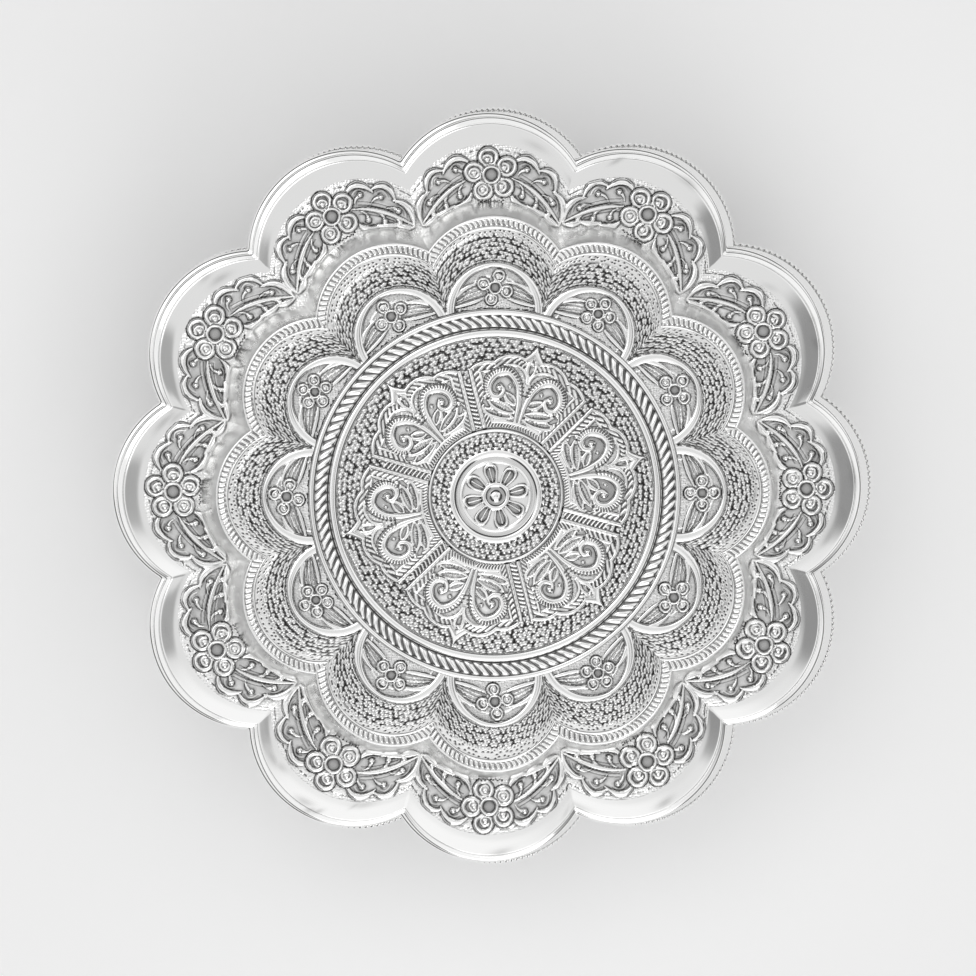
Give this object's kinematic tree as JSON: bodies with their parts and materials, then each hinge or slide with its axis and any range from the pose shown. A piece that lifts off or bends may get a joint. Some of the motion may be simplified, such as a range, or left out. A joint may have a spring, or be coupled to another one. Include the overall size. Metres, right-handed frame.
{
  "type": "lidded box",
  "caption": "Round lobed box in chased sheet metal on a low foot ring, with a stepped, domed lid that lifts straight off.",
  "frame": {"origin": "middle of the foot ring's underside, on the box's vertical axis", "axes": "+Z up along the box's axis, +X and +Y each through the tip of a lobe; +Y is up in the picture"},
  "size_m": [0.243, 0.242, 0.0878],
  "materials": {
    "polished_silver": "mirror-polished silver",
    "chased_silver": "chased and matted silver, polished on the high parts"
  },
  "bodies": {
    "base": {"foot_ring": "polished_silver", "foot_wire": "polished_silver", "base_floor": "polished_silver", "base_wall": "chased_silver", "base_rope_wire": "chased_silver", "base_collar": "polished_silver"},
    "lid": {"lid_shell": "chased_silver", "lid_lip_wire": "polished_silver"}
  },
  "joints": [
    {"name": "lid_lift", "type": "slide", "parent": "base", "child": "lid", "axis": [0, 0, 1], "range_m": [0, 0.1]}
  ]
}
